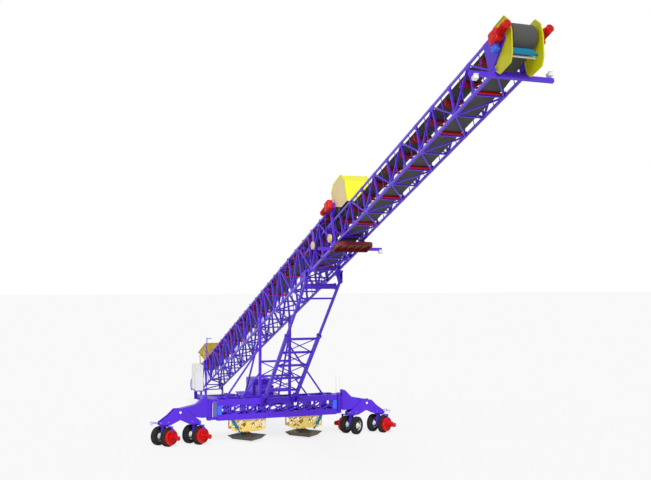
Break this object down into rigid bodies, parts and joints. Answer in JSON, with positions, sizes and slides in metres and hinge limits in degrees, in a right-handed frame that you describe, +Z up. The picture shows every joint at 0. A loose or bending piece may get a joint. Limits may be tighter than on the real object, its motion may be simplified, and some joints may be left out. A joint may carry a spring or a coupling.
{
  "type": "telescopic radial stacking conveyor",
  "caption": "Telescopic belt conveyor with a luffing lattice boom, a sliding inner boom, lift legs and steered wheel sets that swing it round its tail pivot.",
  "frame": {"origin": "centre of the tail's slewing axis at the underside of its ground base", "axes": "+X along the machine from the tail to the discharge end, +Y to its left, +Z up"},
  "size_m": [39.4425, 12.7974, 15.4982],
  "materials": {
    "purple_steel": "satin paint",
    "red_paint": "satin paint",
    "dark_red_paint": "satin paint",
    "hood_yellow": "satin paint",
    "foot_yellow": "satin paint",
    "teal_paint": "satin paint",
    "white_cabinet": "semi-gloss",
    "dark_steel": "dark, worn",
    "black_plastic": "matt",
    "belt_rubber": "matt",
    "tyre": "matt"
  },
  "bodies": {
    "chassis": {"axle_beam": "purple_steel", "guide_tower": "purple_steel", "drawbar_frame": "purple_steel", "turntable": "purple_steel", "power_pack": "white_cabinet", "control_cabinets": "white_cabinet", "cable_reel": "black_plastic", "foot_frame_left": "foot_yellow", "foot_frame_right": "foot_yellow"},
    "slew_base": {"slew_base": "dark_steel"},
    "outer_boom": {"outer_side_left": "purple_steel", "outer_side_right": "purple_steel", "outer_floor_lattice": "purple_steel", "outer_top_bars": "purple_steel", "boom_lugs": "purple_steel", "outer_carrying_idlers": "red_paint", "outer_return_rollers": "red_paint", "outer_belt": "belt_rubber", "outer_pulleys": "dark_steel", "outer_belt_drive": "red_paint", "transfer_hood": "hood_yellow", "feed_hopper": "hood_yellow", "spill_tray": "dark_red_paint", "outer_lamp": "white_cabinet"},
    "inner_boom": {"inner_side_left": "purple_steel", "inner_side_right": "purple_steel", "inner_floor_lattice": "purple_steel", "inner_carrying_idlers": "red_paint", "inner_return_rollers": "red_paint", "inner_belt": "belt_rubber", "inner_pulleys": "dark_steel", "head_drives": "red_paint", "head_shields": "hood_yellow", "head_lamps": "white_cabinet", "belt_scraper": "teal_paint"},
    "lift_leg_outer": {"lift_leg_tubes": "purple_steel"},
    "lift_leg_inner": {"lift_leg_rods": "purple_steel"},
    "foot_left": {"foot_left": "dark_steel"},
    "foot_right": {"foot_right": "dark_steel"},
    "arm_left": {"swing_arm_left": "purple_steel", "rocker_beam_left": "purple_steel"},
    "steer_left_inner": {"steer_leg_left_inner": "purple_steel", "wheel_drive_left_inner": "red_paint"},
    "wheels_left_inner": {"wheel_hubs_left_inner": "red_paint", "tyres_left_inner": "tyre"},
    "steer_left_outer": {"steer_leg_left_outer": "purple_steel", "wheel_drive_left_outer": "red_paint"},
    "wheels_left_outer": {"wheel_hubs_left_outer": "red_paint", "tyres_left_outer": "tyre"},
    "arm_right": {"swing_arm_right": "purple_steel", "rocker_beam_right": "purple_steel"},
    "steer_right_inner": {"steer_leg_right_inner": "purple_steel", "wheel_drive_right_inner": "red_paint"},
    "wheels_right_inner": {"wheel_hubs_right_inner": "red_paint", "tyres_right_inner": "tyre"},
    "steer_right_outer": {"steer_leg_right_outer": "purple_steel", "wheel_drive_right_outer": "red_paint"},
    "wheels_right_outer": {"wheel_hubs_right_outer": "red_paint", "tyres_right_outer": "tyre"}
  },
  "joints": [
    {"name": "slew", "type": "hinge", "parent": "chassis", "child": "slew_base", "pos_m": [0, 0, 0.06], "axis": [0, 0, 1], "range_deg": [-90, 90]},
    {"name": "luff", "type": "hinge", "parent": "chassis", "child": "outer_boom", "pos_m": [0, 0, 0.86], "axis": [0, -1, 0], "range_deg": [-6.25, 0.75]},
    {"name": "telescope", "type": "slide", "parent": "outer_boom", "child": "inner_boom", "axis": [0.9441, 0, 0.3297], "range_m": [-11, 0]},
    {"name": "leg_hinge", "type": "hinge", "parent": "chassis", "child": "lift_leg_outer", "pos_m": [15.55, 0, 2.33], "axis": [0, -1, 0], "range_deg": [-16.7, 2.1]},
    {"name": "leg_slide", "type": "slide", "parent": "lift_leg_outer", "child": "lift_leg_inner", "axis": [0.7303, 0, 0.6831], "range_m": [-0.88, 0.11]},
    {"name": "foot_left_drop", "type": "slide", "parent": "chassis", "child": "foot_left", "axis": [0, 0, 1], "range_m": [-0.09, 0]},
    {"name": "foot_right_drop", "type": "slide", "parent": "chassis", "child": "foot_right", "axis": [0, 0, 1], "range_m": [-0.09, 0]},
    {"name": "arm_left_swing", "type": "hinge", "parent": "chassis", "child": "arm_left", "pos_m": [14.6, 3.47, 1.66], "axis": [0, 0, 1], "range_deg": [0, 75]},
    {"name": "steer_left_inner_turn", "type": "hinge", "parent": "arm_left", "child": "steer_left_inner", "pos_m": [14.6, 4.2, 1], "axis": [0, 0, 1], "range_deg": [-79, 11]},
    {"name": "wheels_left_inner_roll", "type": "hinge", "parent": "steer_left_inner", "child": "wheels_left_inner", "pos_m": [14.6, 4.2, 0.465], "axis": [0.829, 0.5592, 0], "continuous": true},
    {"name": "steer_left_outer_turn", "type": "hinge", "parent": "arm_left", "child": "steer_left_outer", "pos_m": [14.6, 5.75, 1], "axis": [0, 0, 1], "range_deg": [-79, 11]},
    {"name": "wheels_left_outer_roll", "type": "hinge", "parent": "steer_left_outer", "child": "wheels_left_outer", "pos_m": [14.6, 5.75, 0.465], "axis": [0.829, 0.5592, 0], "continuous": true},
    {"name": "arm_right_swing", "type": "hinge", "parent": "chassis", "child": "arm_right", "pos_m": [14.6, -3.47, 1.66], "axis": [0, 0, -1], "range_deg": [0, 75]},
    {"name": "steer_right_inner_turn", "type": "hinge", "parent": "arm_right", "child": "steer_right_inner", "pos_m": [14.6, -4.2, 1], "axis": [0, 0, 1], "range_deg": [-79, 11]},
    {"name": "wheels_right_inner_roll", "type": "hinge", "parent": "steer_right_inner", "child": "wheels_right_inner", "pos_m": [14.6, -4.2, 0.465], "axis": [0.829, 0.5592, 0], "continuous": true},
    {"name": "steer_right_outer_turn", "type": "hinge", "parent": "arm_right", "child": "steer_right_outer", "pos_m": [14.6, -5.75, 1], "axis": [0, 0, 1], "range_deg": [-79, 11]},
    {"name": "wheels_right_outer_roll", "type": "hinge", "parent": "steer_right_outer", "child": "wheels_right_outer", "pos_m": [14.6, -5.75, 0.465], "axis": [0.829, 0.5592, 0], "continuous": true}
  ],
  "couplings": [
    {"joint": "leg_hinge", "follows": "luff", "ratio": 2.6555},
    {"joint": "leg_slide", "follows": "luff", "m_per_rad": 7.9648},
    {"joint": "steer_left_outer_turn", "follows": "steer_left_inner_turn", "ratio": 1},
    {"joint": "steer_right_outer_turn", "follows": "steer_right_inner_turn", "ratio": 1}
  ]
}
